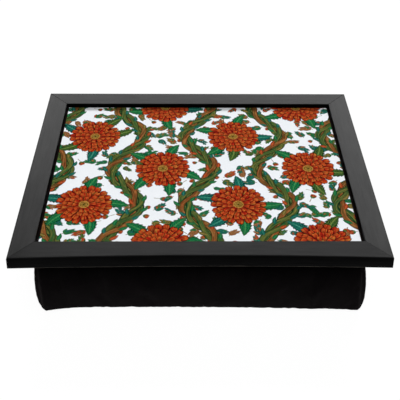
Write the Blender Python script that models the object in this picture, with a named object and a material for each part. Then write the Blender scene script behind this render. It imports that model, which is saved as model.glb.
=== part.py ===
"""Breakfast lap tray: a mitred frame moulding round a printed board, carried on a bead-filled cushion.

Metres, +Z up. The origin is on the ground under the tray's centre, and the front rail faces -Y.
The tray lifts straight up off the cushion, which it holds by four pairs of hook and loop strips.
"""

import math

import bmesh
import bpy
from mathutils import Matrix, Vector

# Frame moulding, measured over the frame's top face and across one rail
FRAME_LENGTH = 0.440
FRAME_DEPTH = 0.340
RAIL_WIDTH = 0.028
RAIL_HEIGHT = 0.0155
LIP_THICKNESS = 0.0065
REBATE_WIDTH = 0.007
FACE_LEAN = 0.001
OUTER_ARRIS = 0.0012
LOWER_ARRIS = 0.0008
SIGHT_ARRIS = 0.0008
ARRIS_STEPS = 4
MITRE_GAP = 0.0003

# Hollow of the front rail's outer face, at its top; its underside is hollowed by a share of it
FRONT_WAIST = 0.0048
WAIST_LOW_SHARE = 0.6
WAIST_STATIONS = 18

# Clearance between pieces that are glued, pressed or seated on each other
SEAT_GAP = 0.0003
CUTTER_OVERRUN = 0.004

# Board that the rebate holds, from the top down
LAMINATE_THICKNESS = 0.0008
BOARD_THICKNESS = 0.003
BALANCER_THICKNESS = 0.0005
BOARD_CLEARANCE = 0.001

# Corner nails: bent steel plates driven across each mitre from below
NAIL_LEG = 0.0055
NAIL_THICKNESS = 0.0005
NAIL_HEIGHT = 0.010
NAIL_RECESS = 0.0005
NAIL_PLACE_SHARES = {"outer": 0.30, "inner": 0.72}

# Framer's points: flat steel darts driven into the rebate to hold the board up
POINT_WIDTH = 0.008
POINT_THICKNESS = 0.0005
POINT_IN_WOOD = 0.006
POINT_OUT_OF_WOOD = 0.009
POINT_TIP_LENGTH = 0.003
POINTS_PER_LONG_RAIL = 4
POINTS_PER_SHORT_RAIL = 2

# Hook and loop strips
STRIP_LENGTH = 0.120
STRIP_WIDTH = 0.025
HOOK_THICKNESS = 0.0012
LOOP_THICKNESS = 0.0012
STRIP_MARGIN = 0.022

# Cushion cover, measured over its outside; each inset is from the frame's outer edge
CUSHION_HEIGHT = 0.092
CLOTH_THICKNESS = 0.0012
SEAM_PULL = 0.0003
TOP_INSET_LENGTH = 0.026
TOP_INSET_DEPTH = 0.025
BASE_INSET_LENGTH = 0.026
BASE_INSET_DEPTH = 0.012
SEAM_BULGE = 0.006
PANEL_BULGE = 0.005
BASE_DRAW = 0.0045
BASE_SEAM_LIFT = 0.003
BASE_EAR_LIFT = 0.0005
BASE_FLAT_SHARE = 0.79
SAG_POWER = 0.7
EAR_POWER = 8
CAGE_CUTS = 13

FINISHES = {
    "black_foil": ((0.012, 0.012, 0.013), 0.42, 0.0),
    "printed_white": ((0.86, 0.88, 0.90), 0.35, 0.0),
    "fibreboard": ((0.36, 0.25, 0.16), 0.85, 0.0),
    "plain_backing": ((0.62, 0.60, 0.56), 0.60, 0.0),
    "spring_steel": ((0.55, 0.56, 0.58), 0.35, 1.0),
    "hook_tape": ((0.014, 0.014, 0.015), 0.75, 0.0),
    "loop_tape": ((0.020, 0.020, 0.021), 0.95, 0.0),
    "velvet": ((0.010, 0.009, 0.011), 0.95, 0.0),
    "foam_beads": ((0.88, 0.88, 0.86), 0.90, 0.0),
}

# Heights of the stack, from the cushion's top up to the top of the frame
LOOP_BOTTOM = CUSHION_HEIGHT + SEAT_GAP
HOOK_BOTTOM = LOOP_BOTTOM + LOOP_THICKNESS + SEAT_GAP
BALANCER_BOTTOM = HOOK_BOTTOM + HOOK_THICKNESS + SEAT_GAP
BOARD_BOTTOM = BALANCER_BOTTOM + BALANCER_THICKNESS + SEAT_GAP
LAMINATE_BOTTOM = BOARD_BOTTOM + BOARD_THICKNESS + SEAT_GAP
LIP_UNDERSIDE = LAMINATE_BOTTOM + LAMINATE_THICKNESS + SEAT_GAP
FRAME_TOP = LIP_UNDERSIDE + LIP_THICKNESS
FRAME_BOTTOM = FRAME_TOP - RAIL_HEIGHT

# Wood between a rail's outer face and its rebate
WOOD_WIDTH = RAIL_WIDTH - REBATE_WIDTH

# Quarter turns about Z that bring the front rail's shape to each side
SIDES = {
    "front": (0, FRAME_LENGTH, FRAME_DEPTH, FRONT_WAIST, POINTS_PER_LONG_RAIL),
    "right": (1, FRAME_DEPTH, FRAME_LENGTH, 0, POINTS_PER_SHORT_RAIL),
    "back": (2, FRAME_LENGTH, FRAME_DEPTH, 0, POINTS_PER_LONG_RAIL),
    "left": (3, FRAME_DEPTH, FRAME_LENGTH, 0, POINTS_PER_SHORT_RAIL),
}


def clear_scene():
    for obj in list(bpy.data.objects):
        bpy.data.objects.remove(obj, do_unlink=True)


def new_collection(name):
    made = bpy.data.collections.new(name)
    bpy.context.scene.collection.children.link(made)
    return made


def make_material(name):
    colour, roughness, metallic = FINISHES[name]
    material = bpy.data.materials.new(name)
    material.use_nodes = True
    shader = material.node_tree.nodes["Principled BSDF"]
    shader.inputs["Base Color"].default_value = (*colour, 1)
    shader.inputs["Roughness"].default_value = roughness
    shader.inputs["Metallic"].default_value = metallic
    return material


def add_piece(name, bm, finish, parent=None, turn=0, height=0):
    """Makes a named piece from a bmesh, turned about Z and raised, in the tray's collection."""
    bmesh.ops.recalc_face_normals(bm, faces=bm.faces[:])
    mesh = bpy.data.meshes.new(name)
    bm.to_mesh(mesh)
    bm.free()
    piece = bpy.data.objects.new(name, mesh)
    piece.data.materials.append(materials[finish])
    piece.rotation_euler.z = turn
    piece.parent = parent
    piece.location.z = height - (parent.location.z if parent else 0)
    tray_collection.objects.link(piece)
    return piece


def add_cutter(name, bm, parent, turn, height):
    """Makes a shape that only cuts: it is drawn as wire and left out of the render."""
    bmesh.ops.recalc_face_normals(bm, faces=bm.faces[:])
    mesh = bpy.data.meshes.new(name)
    bm.to_mesh(mesh)
    bm.free()
    cutter = bpy.data.objects.new(name, mesh)
    cutter.rotation_euler.z = turn
    cutter.parent = parent
    cutter.location.z = height - parent.location.z
    cutter.hide_render = True
    cutter.display_type = "WIRE"
    cutter_collection.objects.link(cutter)
    return cutter


def arc(centre, radius, start, end):
    """Points of a round corner of the moulding, from one angle to another in degrees."""
    turns = (math.radians(start + (end - start) * i / ARRIS_STEPS) for i in range(ARRIS_STEPS + 1))
    return [(centre[0] + radius * math.cos(t), centre[1] + radius * math.sin(t)) for t in turns]


def rail_profile():
    """The moulding's section as (across, up): across from the top's outer edge, up from the underside."""
    sight_top = RAIL_HEIGHT - SIGHT_ARRIS
    lip_underside = RAIL_HEIGHT - LIP_THICKNESS
    return [
        *arc((LOWER_ARRIS - FACE_LEAN, LOWER_ARRIS), LOWER_ARRIS, 270, 180),
        *arc((OUTER_ARRIS, RAIL_HEIGHT - OUTER_ARRIS), OUTER_ARRIS, 180, 90),
        *arc((RAIL_WIDTH - SIGHT_ARRIS, sight_top), SIGHT_ARRIS, 90, 0),
        (RAIL_WIDTH, lip_underside),
        (WOOD_WIDTH, lip_underside),
        (WOOD_WIDTH, 0),
    ]


def extruded(bm, outline, low, direction):
    """Adds a prism on a flat outline given as 3-D points, swept by a vector from its low end."""
    verts = [bm.verts.new(Vector(point) + low) for point in outline]
    face = bm.faces.new(verts)
    swept = bmesh.ops.extrude_face_region(bm, geom=[face])
    moved = [v for v in swept["geom"] if isinstance(v, bmesh.types.BMVert)]
    bmesh.ops.translate(bm, verts=moved, vec=direction)


def slab(length, depth, thickness):
    """A flat board or strip on its own underside, centred on Z."""
    bm = bmesh.new()
    bmesh.ops.create_cube(bm, size=1)
    bmesh.ops.scale(bm, verts=bm.verts[:], vec=(length, depth, thickness))
    bmesh.ops.translate(bm, verts=bm.verts[:], vec=(0, 0, thickness / 2))
    return bm


def cut_away(bm, point, normal):
    """Cuts the mesh by a plane, drops what lies along the normal, and closes the cut."""
    whole = bm.verts[:] + bm.edges[:] + bm.faces[:]
    bmesh.ops.bisect_plane(bm, geom=whole, plane_co=point, plane_no=normal, clear_outer=True)
    open_edges = [edge for edge in bm.edges if edge.is_boundary]
    bmesh.ops.holes_fill(bm, edges=open_edges, sides=0)


def waisted(bm, length, outer_face, waist):
    """Hollows the rail's outer side toward its middle, and leaves the sight edge straight."""
    for station in range(WAIST_STATIONS + 1):
        place = Vector((length * (station / WAIST_STATIONS - 1 / 2), 0, 0))
        whole = bm.verts[:] + bm.edges[:] + bm.faces[:]
        bmesh.ops.bisect_plane(bm, geom=whole, plane_co=place, plane_no=(1, 0, 0))
    for vert in bm.verts:
        if vert.co.y - outer_face < RAIL_WIDTH / 2:
            up = vert.co.z / RAIL_HEIGHT
            depth = waist * (WAIST_LOW_SHARE + (1 - WAIST_LOW_SHARE) * up)
            vert.co.y += depth * max(0, 1 - (2 * vert.co.x / length) ** 2)


def rail_shape(length, span, waist):
    """One length of moulding with its outer face at -span / 2, mitred at both ends."""
    outer_face = -span / 2
    section = [(0, outer_face + across, up) for across, up in rail_profile()]
    uncut = length + 2 * RAIL_WIDTH
    bm = bmesh.new()
    extruded(bm, section, Vector((-uncut / 2, 0, 0)), Vector((uncut, 0, 0)))
    if waist:
        waisted(bm, length, outer_face, waist)
    for end in (-1, 1):
        normal = Vector((end, 1, 0)).normalized()
        corner = Vector((end * length / 2, outer_face, 0)) - normal * MITRE_GAP / 2
        cut_away(bm, corner, normal)
    return bm


def add_nail(bm, corner_x, corner_y, end, place, spare, low, high):
    """Adds a corner nail's bent plate, or with some spare its pocket, with a leg along each rail."""
    half = NAIL_THICKNESS / 2 + spare
    leg = NAIL_LEG + spare
    apex = Vector((corner_x - end * place, corner_y + place, 0))
    outline = [(half, -half), (-leg, -half), (-leg, half), (-half, half), (-half, leg), (half, leg)]
    points = [(end * along, across, 0) for along, across in outline]
    extruded(bm, points, apex + Vector((0, 0, low)), Vector((0, 0, high - low)))


def nail_places():
    return {name: share * WOOD_WIDTH for name, share in NAIL_PLACE_SHARES.items()}


def point_centres(length, count):
    """Places along a rail of its framer's points, spread evenly over the board's edge."""
    board_edge = length - 2 * RAIL_WIDTH
    return [board_edge * ((i + 1 / 2) / count - 1 / 2) for i in range(count)]


def point_shape(length_centre, span):
    """A flat dart: its tip is in the rebate's wall, and its square end lies under the board."""
    wall = -span / 2 + WOOD_WIDTH
    half = POINT_WIDTH / 2
    outline = [
        (length_centre - half, wall + POINT_OUT_OF_WOOD, 0),
        (length_centre - half, wall - POINT_IN_WOOD + POINT_TIP_LENGTH, 0),
        (length_centre, wall - POINT_IN_WOOD, 0),
        (length_centre + half, wall - POINT_IN_WOOD + POINT_TIP_LENGTH, 0),
        (length_centre + half, wall + POINT_OUT_OF_WOOD, 0),
    ]
    bm = bmesh.new()
    extruded(bm, outline, Vector((0, 0, 0)), Vector((0, 0, POINT_THICKNESS)))
    return bm


def add_point_slot(bm, length_centre, span, low, high):
    """Adds the slot that a framer's point makes in the rebate's wall."""
    wall = -span / 2 + WOOD_WIDTH
    half = POINT_WIDTH / 2 + SEAT_GAP
    deep = wall - POINT_IN_WOOD - SEAT_GAP
    outline = [
        (length_centre - half, wall + CUTTER_OVERRUN, low),
        (length_centre - half, deep + POINT_TIP_LENGTH, low),
        (length_centre, deep, low),
        (length_centre + half, deep + POINT_TIP_LENGTH, low),
        (length_centre + half, wall + CUTTER_OVERRUN, low),
    ]
    extruded(bm, outline, Vector((0, 0, 0)), Vector((0, 0, high - low)))


def add_rail(side, parent):
    """One rail with the pockets of its nails and the slots of its framer's points cut out."""
    quarter, length, span, waist, count = SIDES[side]
    turn = quarter * math.pi / 2
    rail = add_piece(f"rail_{side}", rail_shape(length, span, waist), "black_foil", parent, turn, FRAME_BOTTOM)
    rail.data.shade_smooth()
    rail.data.set_sharp_from_angle(angle=math.radians(35))

    pockets = bmesh.new()
    pocket_top = NAIL_RECESS + NAIL_HEIGHT + SEAT_GAP
    for end in (-1, 1):
        for place in nail_places().values():
            add_nail(pockets, end * length / 2, -span / 2, end, place, SEAT_GAP, -CUTTER_OVERRUN, pocket_top)
    for centre in point_centres(length, count):
        low = POINT_BOTTOM - FRAME_BOTTOM - SEAT_GAP
        add_point_slot(pockets, centre, span, low, low + POINT_THICKNESS + 2 * SEAT_GAP)
    cutter = add_cutter(f"rail_{side}_pockets", pockets, parent, turn, FRAME_BOTTOM)

    cut = rail.modifiers.new("pockets", "BOOLEAN")
    cut.operation = "DIFFERENCE"
    cut.solver = "EXACT"
    cut.object = cutter


def add_nails(side, parent):
    """The two corner nails at the right-hand end of one side, seen with that side to the front."""
    quarter, length, span, _, _ = SIDES[side]
    for name, place in nail_places().items():
        bm = bmesh.new()
        add_nail(bm, length / 2, -span / 2, 1, place, 0, NAIL_RECESS, NAIL_RECESS + NAIL_HEIGHT)
        add_piece(f"corner_nail_{side}_{name}", bm, "spring_steel", parent, quarter * math.pi / 2, FRAME_BOTTOM)


def add_points(side, parent):
    quarter, length, span, _, count = SIDES[side]
    for number, centre in enumerate(point_centres(length, count), start=1):
        bm = point_shape(centre, span)
        name = f"framers_point_{side}_{number}"
        add_piece(name, bm, "spring_steel", parent, quarter * math.pi / 2, POINT_BOTTOM)


def add_board(parent):
    """The printed laminate, its fibreboard and the plain sheet that keeps the board from bowing."""
    length = FRAME_LENGTH - 2 * (WOOD_WIDTH + BOARD_CLEARANCE)
    depth = FRAME_DEPTH - 2 * (WOOD_WIDTH + BOARD_CLEARANCE)
    layers = [
        ("printed_laminate", LAMINATE_THICKNESS, LAMINATE_BOTTOM, "printed_white"),
        ("tray_board", BOARD_THICKNESS, BOARD_BOTTOM, "fibreboard"),
        ("backing_sheet", BALANCER_THICKNESS, BALANCER_BOTTOM, "plain_backing"),
    ]
    for name, thickness, bottom, finish in layers:
        add_piece(name, slab(length, depth, thickness), finish, parent, 0, bottom)


def strip_places():
    """Where the four pairs of strips sit on the cushion's top, by corner."""
    x = FRAME_LENGTH / 2 - TOP_INSET_LENGTH - STRIP_MARGIN - STRIP_LENGTH / 2
    y = FRAME_DEPTH / 2 - TOP_INSET_DEPTH - STRIP_MARGIN - STRIP_WIDTH / 2
    return {
        "front_left": (-x, -y),
        "front_right": (x, -y),
        "back_left": (-x, y),
        "back_right": (x, y),
    }


def add_strips(kind, thickness, bottom, finish, parent):
    for corner, (x, y) in strip_places().items():
        strip = slab(STRIP_LENGTH, STRIP_WIDTH, thickness)
        piece = add_piece(f"{kind}_strip_{corner}", strip, finish, parent, 0, bottom)
        piece.location.x = x
        piece.location.y = y


def cushion_cage():
    """A cube from -1 to 1, divided finely near its edges, that the cushion's shape is moulded on."""
    bm = bmesh.new()
    bmesh.ops.create_cube(bm, size=2)
    bmesh.ops.subdivide_edges(bm, edges=bm.edges[:], cuts=CAGE_CUTS, use_grid_fill=True)
    for vert in bm.verts:
        vert.co = Vector([math.sin(share * math.pi / 2) for share in vert.co])
    return bm


def cushion_point(place, inset):
    """Where a point of the cage lies on the stuffed cushion, that far inside the cover's outer face.

    The corner seams belly out low down, the panels swell between them, and the base's seam is
    drawn in and up between corners that stay out as ears. The middle of the base lies flat.
    """
    a, b, c = place
    up = (c + 1) / 2
    swell = math.sin(math.pi * up**SAG_POWER)
    low = (1 - up) ** 2
    between_a, between_b = 1 - abs(a) ** EAR_POWER, 1 - abs(b) ** EAR_POWER

    base_length = FRAME_LENGTH / 2 - BASE_INSET_LENGTH
    base_depth = FRAME_DEPTH / 2 - BASE_INSET_DEPTH
    top_length = FRAME_LENGTH / 2 - TOP_INSET_LENGTH
    top_depth = FRAME_DEPTH / 2 - TOP_INSET_DEPTH
    half_length = base_length + (top_length - base_length) * up
    half_depth = base_depth + (top_depth - base_depth) * up
    half_length += (SEAM_BULGE + PANEL_BULGE * (1 - b**2)) * swell - BASE_DRAW * between_b * low
    half_depth += (SEAM_BULGE + PANEL_BULGE * (1 - a**2)) * swell - BASE_DRAW * between_a * low

    near_a, near_b = (max(0, (abs(s) - BASE_FLAT_SHARE) / (1 - BASE_FLAT_SHARE)) ** 2 for s in (a, b))
    lift = BASE_SEAM_LIFT * (between_a * near_b + between_b * near_a) + BASE_EAR_LIFT * near_a * near_b
    bottom = lift + inset
    top = CUSHION_HEIGHT - inset
    return Vector((a * (half_length - inset), b * (half_depth - inset), bottom + (top - bottom) * up))


def add_cover_panel(name, axis, sign, parent):
    """One cut panel of the cover: a side of the cage, pulled back a little at its seams, with thickness."""
    bm = cushion_cage()
    others = [face for face in bm.faces if face.normal[axis] * sign < 1 / 2]
    bmesh.ops.delete(bm, geom=others, context="FACES")
    half_sizes = (FRAME_LENGTH / 2, FRAME_DEPTH / 2, CUSHION_HEIGHT / 2)
    for vert in bm.verts:
        for other in range(3):
            if other != axis:
                vert.co[other] *= 1 - SEAM_PULL / half_sizes[other]
    outside = set(bmesh.ops.extrude_face_region(bm, geom=bm.faces[:])["geom"])
    for vert in bm.verts:
        vert.co = cushion_point(vert.co, 0 if vert in outside else CLOTH_THICKNESS)
    panel = add_piece(name, bm, "velvet", parent)
    panel.data.shade_smooth()
    panel.data.set_sharp_from_angle(angle=math.radians(50))


def add_bead_filling(parent):
    """The foam beads, as the one solid that they fill the cover with."""
    bm = cushion_cage()
    for vert in bm.verts:
        vert.co = cushion_point(vert.co, CLOTH_THICKNESS + SEAT_GAP)
    filling = add_piece("bead_filling", bm, "foam_beads", parent)
    filling.data.shade_smooth()


def add_cushion(parent):
    add_cover_panel("cover_base", 2, -1, parent)
    add_cover_panel("cover_top", 2, 1, parent)
    add_cover_panel("cover_front", 1, -1, parent)
    add_cover_panel("cover_back", 1, 1, parent)
    add_cover_panel("cover_left", 0, -1, parent)
    add_cover_panel("cover_right", 0, 1, parent)
    add_bead_filling(parent)


def add_empty(name, height):
    empty = bpy.data.objects.new(name, None)
    empty.location.z = height
    tray_collection.objects.link(empty)
    return empty


POINT_BOTTOM = BALANCER_BOTTOM - SEAT_GAP - POINT_THICKNESS

clear_scene()
tray_collection = new_collection("breakfast tray")
cutter_collection = new_collection("cutters")
materials = {finish: make_material(finish) for finish in FINISHES}

cushion_axis = add_empty("cushion_axis", 0)
tray_axis = add_empty("tray_lift_axis", FRAME_BOTTOM)
for rail_side in SIDES:
    add_rail(rail_side, tray_axis)
    add_nails(rail_side, tray_axis)
    add_points(rail_side, tray_axis)
add_board(tray_axis)
add_strips("hook", HOOK_THICKNESS, HOOK_BOTTOM, "hook_tape", tray_axis)
add_strips("loop", LOOP_THICKNESS, LOOP_BOTTOM, "loop_tape", cushion_axis)
add_cushion(cushion_axis)
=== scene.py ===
"""Breakfast lap tray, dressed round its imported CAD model.

A black frame moulding holds a printed board, and lies on a velvet cushion filled with beads. Metres,
+Z up, in the frame of the CAD model. The front rail faces -Y.
"""

import math
import random

import bmesh
import bpy
from mathutils import Matrix, Vector, noise


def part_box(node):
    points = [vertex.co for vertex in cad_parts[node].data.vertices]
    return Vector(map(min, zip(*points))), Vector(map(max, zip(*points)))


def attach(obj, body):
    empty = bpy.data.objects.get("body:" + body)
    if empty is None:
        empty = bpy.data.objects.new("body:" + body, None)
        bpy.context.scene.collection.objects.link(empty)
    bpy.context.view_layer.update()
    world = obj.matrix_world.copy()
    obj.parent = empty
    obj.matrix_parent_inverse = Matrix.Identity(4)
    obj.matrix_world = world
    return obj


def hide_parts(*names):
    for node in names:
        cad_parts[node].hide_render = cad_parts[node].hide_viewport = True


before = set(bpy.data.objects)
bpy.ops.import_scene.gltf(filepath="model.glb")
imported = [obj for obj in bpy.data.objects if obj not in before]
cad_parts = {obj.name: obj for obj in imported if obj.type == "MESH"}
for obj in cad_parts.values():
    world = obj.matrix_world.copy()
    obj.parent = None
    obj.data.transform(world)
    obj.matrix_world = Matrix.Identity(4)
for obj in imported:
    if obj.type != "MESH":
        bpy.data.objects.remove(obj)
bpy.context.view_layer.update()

# Camera, as the photograph was taken: where it stands, how far in degrees it looks down, aside and off
# level, and its lens in millimetres
CAMERA_PLACE = (-0.0140, -0.7106, 0.6754)
CAMERA_DOWN = 41.59
CAMERA_ASIDE = 1.26
CAMERA_ROLL = 0.82
CAMERA_LENS = 62.20
SENSOR_WIDTH = 36
FARTHEST_SEEN = 50

# Studio: what the lamps point at, how strong the light from all round is, and the floor
LAMP_AIM = (0, 0, 0.1)
FILL_LIGHT = 0.06
FLOOR_REACH = 6
FLOOR_DROP = 0.0003
FLOOR_BOUNCE = 0.2
FLOOR_SHADOW_SHARE = 0.07
FLOOR_GLOW = 0.96

# Tray, as the CAD model has it
TRAY_LENGTH = 0.440
TRAY_DEPTH = 0.340
RAIL_WIDTH = 0.028

# Cushion, measured over the cover's outside, evenly stuffed. Each inset is from the frame's outer edge,
# first at the ends and then at the front and back.
CUSHION_HEIGHT = 0.092
TOP_INSET = (0.026, 0.025)
BASE_INSET = (0.026, 0.012)
SEAM_BULGE = 0.006
PANEL_BULGE = 0.005
BASE_DRAW = 0.0045
BASE_SEAM_LIFT = 0.003
BASE_EAR_LIFT = 0.0005
BASE_FLAT_SHARE = 0.79
SAG_POWER = 0.7
EAR_POWER = 8

# Where the beads have settled unevenly: shoulders beside the upright seams, ends that are tucked in, and
# a low front and right end that spill out. The spill to the right starts and grows by shares of the way
# from the middle to the end.
SHOULDER = 0.0058
SHOULDER_PLACE = 0.008
FRONT_SHOULDER_SHARE = 0.4
SIDE_TUCK = 0.0026
SEAM_TUCK = 0.0034
FRONT_SPILL = 0.0008
RIGHT_SPILL = 0.0020
RIGHT_SPILL_START = 0.1
RIGHT_SPILL_RUN = 0.6
RIGHT_SEAM_DROP = 0.8
RIGHT_FULLNESS = 0.0064

# How finely the cushion is divided, and how the simulation stuffs it
CUSHION_CUTS = (96, 74, 24)
EDGE_CROWDING = 0.45
ON_A_FACE = 0.999
UPRIGHT_SEAM_GRIP = 30
LEVEL_SEAM_GRIP = 9
STUFFING_SETBACK = 0.0012
SETBACK_END_POWER = 8
SETBACK_SIDE_POWER = 12
STUFFING_LIMIT = 0.0028
STUFFING_FRAMES = 20
CLOTH = {
    "quality": 5,
    "mass": 0.4,
    "tension_stiffness": 12,
    "compression_stiffness": 12,
    "shear_stiffness": 6,
    "bending_stiffness": 0.6,
    "shrink_min": -0.010,
    "use_pressure": True,
    "uniform_pressure_force": 4,
}

# Sewing: about how far the seams lie inside the frame's outer edge, where the cage counts as level, and the
# depths and widths of what the seams do to the cloth beside them
SEAM_INSET = (0.02, 0.014)
LEVEL_FACE = 0.995
GROOVE_DEPTH = 0.0009
GROOVE_WIDTH = 0.0016
RIDGE_HEIGHT = 0.0003
RIDGE_PLACE = 0.0045
RIDGE_WIDTH = 0.0022
# The width of the painted highlight along the seams.
SEAM_HIGHLIGHT_WIDTH = 0.0012
PUCKER_DEPTH = 0.00028
PUCKER_LENGTH = 0.0115
PUCKER_REACH = 0.008
FOLD_DEPTH = 0.0009
FOLD_CLEAR_OF_SEAM = 0.02
QUILT_RISE = 0.0021
QUILT_SLOPE = 0.016

# Frame: the height below which its lower arris carries a painted highlight, drawn as rubbed foil, how much
# that wanders, how much farther out a mitre is along X than along Y, half the width of its hairline, and
# between which heights its upright faces turn duller
ARRIS_HIGHLIGHT_BELOW = 0.0928
ARRIS_HIGHLIGHT_WANDER = 0.0008
MITRE_OFFSET = (TRAY_LENGTH - TRAY_DEPTH) / 2
MITRE_LINE = 0.00028
UPRIGHT_HEIGHTS = (0.0925, 0.1065)

# Each rail's foil: how its grain is scaled, its shine and roughness, the axis it is polished along, and its
# stretches of polish, each from where to where and how much shinier at its start and at its end. The side
# rails are shinier and rougher than the front and the back.
GRAIN_ALONG_X = (30, 520, 520)
GRAIN_ALONG_Y = (520, 30, 520)
RAIL_FOILS = {
    "front": (GRAIN_ALONG_X, 0.037, 0.20, 0, ((-0.22, -0.06, 0.96, 1.03), (0.04, 0.22, 1.0, 0.90))),
    "back": (GRAIN_ALONG_X, 0.0354, 0.20, 0, ()),
    "left": (GRAIN_ALONG_Y, 0.0565, 0.30, 1, ((-0.17, -0.08, 1.38, 0.885), (-0.08, 0.17, 1.0, 1.186))),
    "right": (GRAIN_ALONG_Y, 0.0565, 0.30, 1, ((-0.17, -0.045, 1.225, 0.90), (0.02, 0.17, 1.0, 1.155))),
}

# Printed pattern: blossoms in a half-drop, inside ovals drawn by waving vines
BLOSSOM_SPACING = 0.096
BLOSSOM_ROW = 0.142
BLOSSOM_RADIUS = 0.0352
BLOSSOM_COLUMNS = 4
LAST_BLOSSOM = 0.18
HEART_SHARE = 0.2
VINE_COUNT = 5
VINE_LENGTH = 0.31
VINE_SWAY = 0.019
VINE_WIDTH = 0.0165
VINE_TWIST = 0.066
VINE_GROUND_SHARE = 0.62
VINE_STRANDS = 3
STRAND_SWING = 0.36
STRAND_SHARE = 0.50
SLOPE_STEP = 0.001
LEAVES_ROUND_BLOSSOM = 5
SHOOTS_ON_VINE = 36
SPRIG_SPACING = 0.0150
SPRIG_JITTER = 0.003
SPRIG_START = -0.008
SPRIG_SIZES = (0.0140, 0.0195)
SPRIG_GAP_SHARE = 0.30
BUD_SHARE = 0.16
CLEAR_OF_VINE = 0.003
UNDER_BLOSSOM = 0.001
MARGIN_MIDDLE = 0.194
MARGIN_WIDTH = 0.0088
MARGIN_LENGTH = 0.3
PRINT_INSET = 0.0005
INK_STEP = 0.000008

# Rings of a blossom's petals, from the outside in: how many, and by the blossom's radius where they
# start and end and how wide they are. A heart's stamens: how many, and how far out they reach.
BLOSSOM_RINGS = (
    (20, 0.48, 1.00, 0.335),
    (18, 0.32, 0.80, 0.300),
    (14, 0.18, 0.61, 0.285),
    (10, 0.08, 0.42, 0.250),
)
STAMEN_RINGS = ((26, 1.0), (16, 0.62), (9, 0.34))

# Finishes: where nearly all of a noise's values lie, and what the whole print shares
NOISE_LOW = 0.3
NOISE_HIGH = 0.7
PRINT_SHINE = 0.002
PRINT_ROUGHNESS = (0.42, 0.52)
INK_RELIEF = 0.000006


def srgb(red, green, blue):
    """A colour given as it looks on a screen, 0 to 255, as the shader wants it."""
    shares = (value / 255 for value in (red, green, blue))
    return (*(s / 12.92 if s <= 0.04045 else ((s + 0.055) / 1.055) ** 2.4 for s in shares), 1)


def grey(value):
    return (value, value, value, 1)


def join_or_set(tree, socket, value):
    """Joins a socket to another node's output, or gives it a value of its own."""
    if isinstance(value, bpy.types.NodeSocket):
        tree.links.new(value, socket)
    else:
        socket.default_value = value


def add_node(tree, kind, inputs=None, **options):
    """Adds a shader node, sets its options, and gives each input a value or another node's output."""
    made = tree.nodes.new(kind)
    for option, value in options.items():
        setattr(made, option, value)
    for socket, value in (inputs or {}).items():
        join_or_set(tree, made.inputs[socket], value)
    return made


def maths(tree, operation, *values):
    return add_node(tree, "ShaderNodeMath", dict(enumerate(values)), operation=operation).outputs[0]


def times(tree, first, *others):
    """Multiplies values with each other, one after another."""
    for other in others:
        first = maths(tree, "MULTIPLY", first, other)
    return first


def blended(tree, one, other, share):
    """Adds up two values, the first with its share and the second with the rest."""
    return maths(tree, "ADD", times(tree, one, share), times(tree, other, 1 - share))


def split(tree, vector):
    """The three parts of a vector."""
    return add_node(tree, "ShaderNodeSeparateXYZ", {0: vector}).outputs[:3]


def speckle(tree, place, scale, detail=2, roughness=0.5, distortion=0):
    inputs = {"Vector": place, "Scale": scale, "Detail": detail}
    inputs |= {"Roughness": roughness, "Distortion": distortion}
    return add_node(tree, "ShaderNodeTexNoise", inputs).outputs["Fac"]


def stretched(tree, place, scale):
    return add_node(tree, "ShaderNodeMapping", {"Vector": place, "Scale": scale}).outputs[0]


def ranged(tree, value, low, high, to_low=0.0, to_high=1.0):
    """Moves a value from one range to another, and holds it there. Each end may be a node's output."""
    inputs = {"Value": value, "From Min": low, "From Max": high, "To Min": to_low, "To Max": to_high}
    return add_node(tree, "ShaderNodeMapRange", inputs).outputs[0]


def spread(tree, speckles, to_low, to_high):
    """Moves a noise's values to another range."""
    return ranged(tree, speckles, NOISE_LOW, NOISE_HIGH, to_low, to_high)


def graded(tree, share, stops, steps="LINEAR"):
    """Turns a share into a colour, by the colours set along it."""
    made = add_node(tree, "ShaderNodeValToRGB", {"Fac": share})
    ramp = made.color_ramp
    ramp.interpolation = steps
    while len(ramp.elements) < len(stops):
        ramp.elements.new(0.5)
    for element, (place, colour) in zip(ramp.elements, stops):
        element.position = place
        element.color = colour
    return made.outputs["Color"]


def toned(tree, speckles, dark, light):
    """Turns a noise into colours between two."""
    return graded(tree, speckles, [(NOISE_LOW, dark), (NOISE_HIGH, light)])


def mixed(tree, share, under, over):
    made = add_node(tree, "ShaderNodeMix", data_type="RGBA")
    for socket, value in ((0, share), (6, under), (7, over)):
        join_or_set(tree, made.inputs[socket], value)
    return made.outputs[2]


def new_finish(name, shine, metallic=0.0, sheen=0.0):
    """A material with its shader, and the object's own coordinates to lay a pattern on."""
    finish = bpy.data.materials.new(name)
    finish.use_nodes = True
    tree = finish.node_tree
    shader = tree.nodes["Principled BSDF"]
    shader.inputs["Specular IOR Level"].default_value = shine
    shader.inputs["Metallic"].default_value = metallic
    shader.inputs["Sheen Weight"].default_value = sheen
    place = add_node(tree, "ShaderNodeTexCoord").outputs["Object"]
    return finish, tree, shader, place


def finished(tree, shader, colour, roughness, height, relief):
    """Joins a colour, a roughness and a height in metres to the shader."""
    bump = add_node(tree, "ShaderNodeBump", {"Height": height, "Strength": 1.0, "Distance": relief})
    tree.links.new(colour, shader.inputs["Base Color"])
    tree.links.new(roughness, shader.inputs["Roughness"])
    tree.links.new(bump.outputs[0], shader.inputs["Normal"])


def mitre_hairline(tree, across, along, y):
    """How open the line is where two rails meet: a little at the front, fully at the back, 0 beside it."""
    from_mitre = maths(tree, "SUBTRACT", maths(tree, "SUBTRACT", across, along), MITRE_OFFSET)
    from_mitre = maths(tree, "ABSOLUTE", from_mitre)
    openness = ranged(tree, y, -0.15, 0.15, 0.1, 1.0)
    return ranged(tree, from_mitre, 0.4 * MITRE_LINE, 1.6 * MITRE_LINE, openness, 0.0)


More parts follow.
